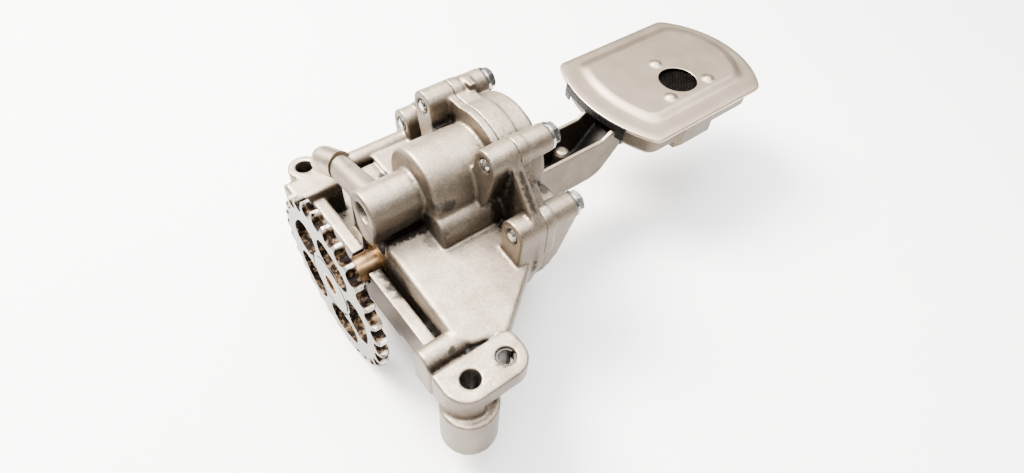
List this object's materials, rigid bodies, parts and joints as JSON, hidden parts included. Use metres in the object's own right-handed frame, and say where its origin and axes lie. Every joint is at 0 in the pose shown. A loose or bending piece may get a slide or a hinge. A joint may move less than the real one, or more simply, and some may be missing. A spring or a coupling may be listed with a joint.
{
  "type": "oil_pump",
  "caption": "Chain-driven engine oil pump with spur gears in a cast housing, a relief valve, a mounting foot and lug, and a pick-up strainer on a suction channel",
  "frame": {"origin": "on the drive shaft's axis, in the middle plane of the chain sprocket", "axes": "+X along the drive shaft from the sprocket to the strainer, +Z away from the face that bolts to the engine block, +Y towards the far lug"},
  "size_m": [0.2741, 0.1757, 0.1093],
  "materials": {
    "cast_housing": "die-cast, shot-blasted, with dark oil film in the recesses",
    "sprocket_steel": "sintered and ground faces, oily tooth gaps",
    "shaft_steel": "ground, tinted by hot oil",
    "gear_steel": "ground and oiled",
    "bush_bronze": "plain bearing bronze",
    "spring_steel": "dark hardened wire",
    "plug_steel": "pressed or turned, dull",
    "bolt_zinc": "bright zinc plate",
    "strainer_sheet": "pressed sheet, satin beige-grey",
    "strainer_cast": "die-cast, shot-blasted",
    "gauze_steel": "oily wire gauze",
    "seal_rubber": "black moulded rubber with fine lips"
  },
  "bodies": {
    "housing": {"pump_body": "cast_housing", "pump_cover": "cast_housing", "front_bush": "bush_bronze", "rear_bush": "bush_bronze", "cover_bush": "bush_bronze", "idler_axle": "shaft_steel", "gallery_plug": "plug_steel", "cover_bolts": "bolt_zinc", "lower_cover_bolts": "bolt_zinc", "cover_pins": "shaft_steel", "foot_dowel": "spring_steel", "channel_stud": "plug_steel", "strainer_plate": "strainer_sheet", "strainer_cup": "strainer_cast", "strainer_mesh": "gauze_steel", "strainer_seal": "seal_rubber", "relief_spring": "spring_steel"},
    "rotor": {"drive_sprocket": "sprocket_steel", "drive_shaft": "shaft_steel", "drive_gear": "gear_steel"},
    "idler": {"driven_gear": "gear_steel", "driven_gear_bush": "bush_bronze"},
    "valve": {"relief_piston": "gear_steel"}
  },
  "joints": [
    {"name": "rotor_spin", "type": "hinge", "parent": "housing", "child": "rotor", "pos_m": [0, 0, 0], "axis": [1, 0, 0], "continuous": true},
    {"name": "idler_spin", "type": "hinge", "parent": "housing", "child": "idler", "pos_m": [0.088, 0, 0.036], "axis": [1, 0, 0], "continuous": true},
    {"name": "valve_slide", "type": "slide", "parent": "housing", "child": "valve", "axis": [-1, 0, 0], "range_m": [0, 0.007], "stiffness_N_per_m": 1500, "springref_m": -0.004, "deforming": ["relief_spring"]}
  ],
  "couplings": [
    {"joint": "idler_spin", "follows": "rotor_spin", "ratio": -1}
  ]
}
